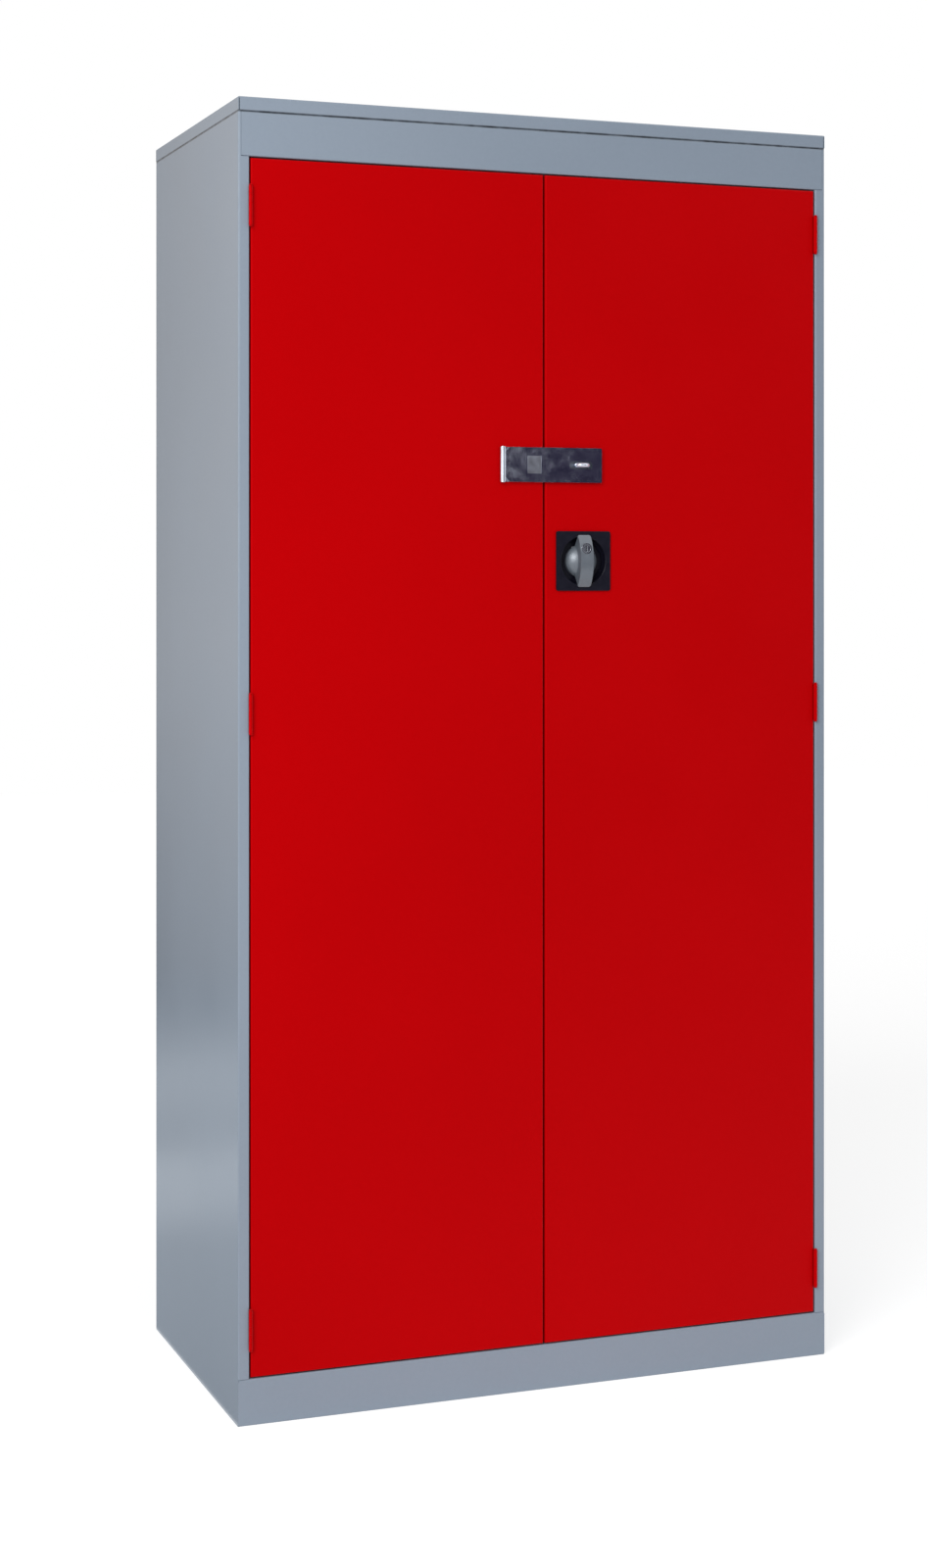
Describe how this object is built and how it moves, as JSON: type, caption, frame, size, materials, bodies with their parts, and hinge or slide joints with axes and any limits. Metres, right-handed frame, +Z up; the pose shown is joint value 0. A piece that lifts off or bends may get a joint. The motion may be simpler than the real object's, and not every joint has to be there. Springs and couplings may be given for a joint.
{
  "type": "two-door tool cabinet",
  "caption": "Tall sheet-steel tool cabinet with hinged doors, a hasp and staple, a wing knob that drives locking rods, and adjustable shelves.",
  "frame": {"origin": "on the floor, under the middle of the cabinet's outline with its front hardware included", "axes": "+X across the front to the right-hand door, +Y from the doors to the back, +Z up"},
  "size_m": [0.915, 0.476, 1.83],
  "materials": {
    "frame_paint": "satin blue-grey powder coat",
    "door_paint": "satin red powder coat",
    "chrome": "bright plated",
    "zinc": "zinc plated",
    "black_cast": "satin black",
    "knob_metal": "satin grey die casting",
    "lock_metal": "bright plated",
    "nylon": "moulded",
    "rubber": "moulded"
  },
  "bodies": {
    "carcass": {"side_left": "frame_paint", "side_right": "frame_paint", "back_panel": "frame_paint", "top_cap": "frame_paint", "header_rail": "frame_paint", "base_rail": "frame_paint", "base_panel": "frame_paint", "upright_front_left": "frame_paint", "upright_front_right": "frame_paint", "upright_rear_left": "frame_paint", "upright_rear_right": "frame_paint", "shelf_1": "frame_paint", "shelf_2": "frame_paint", "shelf_3": "frame_paint", "shelf_4": "frame_paint", "shelf_clips": "zinc", "door_buffers": "rubber", "hinge_frame_leaves_left": "door_paint", "hinge_frame_leaves_right": "door_paint", "hinge_pins_left": "door_paint", "hinge_pins_right": "door_paint"},
    "door_left": {"door_left": "door_paint", "stiffener_left": "door_paint", "hinge_door_leaves_left": "door_paint", "hasp_leaf": "chrome", "hasp_leaf_screws": "zinc", "hasp_pin": "chrome"},
    "hasp": {"hasp_strap": "chrome"},
    "door_right": {"door_right": "door_paint", "stiffener_right": "door_paint", "hinge_door_leaves_right": "door_paint", "staple_plate": "chrome", "staple_screws": "zinc", "staple": "chrome", "handle_plate": "black_cast", "handle_backplate": "zinc", "rod_cage": "zinc", "rod_cage_screws": "zinc", "rod_guide_upper": "nylon", "rod_guide_lower": "nylon"},
    "handle": {"wing_knob": "knob_metal", "lock_barrel": "lock_metal", "centre_latch": "zinc", "rod_pinion": "zinc", "spindle_screw": "zinc"},
    "lock": {"lock_plug": "lock_metal", "lock_tongue": "zinc"},
    "rod_upper": {"rod_upper": "zinc"},
    "rod_lower": {"rod_lower": "zinc"}
  },
  "joints": [
    {"name": "right_door_swing", "type": "hinge", "parent": "carcass", "child": "door_right", "pos_m": [0.4404, -0.22215, 0.906], "axis": [0, 0, 1], "range_deg": [0, 165]},
    {"name": "left_door_swing", "type": "hinge", "parent": "carcass", "child": "door_left", "pos_m": [-0.4404, -0.22215, 0.906], "axis": [0, 0, -1], "range_deg": [0, 165]},
    {"name": "hasp_swing", "type": "hinge", "parent": "door_left", "child": "hasp", "pos_m": [-0.0665, -0.2238, 1.329], "axis": [0, 0, -1], "range_deg": [0, 180]},
    {"name": "handle_turn", "type": "hinge", "parent": "door_right", "child": "handle", "pos_m": [0.0605, -0.219, 1.191], "axis": [0, 1, 0], "range_deg": [0, 90]},
    {"name": "rod_upper_slide", "type": "slide", "parent": "door_right", "child": "rod_upper", "axis": [0, 0, 1], "range_m": [0, 0.01886]},
    {"name": "rod_lower_slide", "type": "slide", "parent": "door_right", "child": "rod_lower", "axis": [0, 0, -1], "range_m": [0, 0.01886]},
    {"name": "key_turn", "type": "hinge", "parent": "handle", "child": "lock", "pos_m": [0.0605, -0.219, 1.209], "axis": [0, 1, 0], "range_deg": [0, 90]}
  ],
  "couplings": [
    {"joint": "left_door_swing", "follows": "right_door_swing", "ratio": 1},
    {"joint": "rod_upper_slide", "follows": "handle_turn", "m_per_rad": 0.012},
    {"joint": "rod_lower_slide", "follows": "handle_turn", "m_per_rad": 0.012}
  ]
}
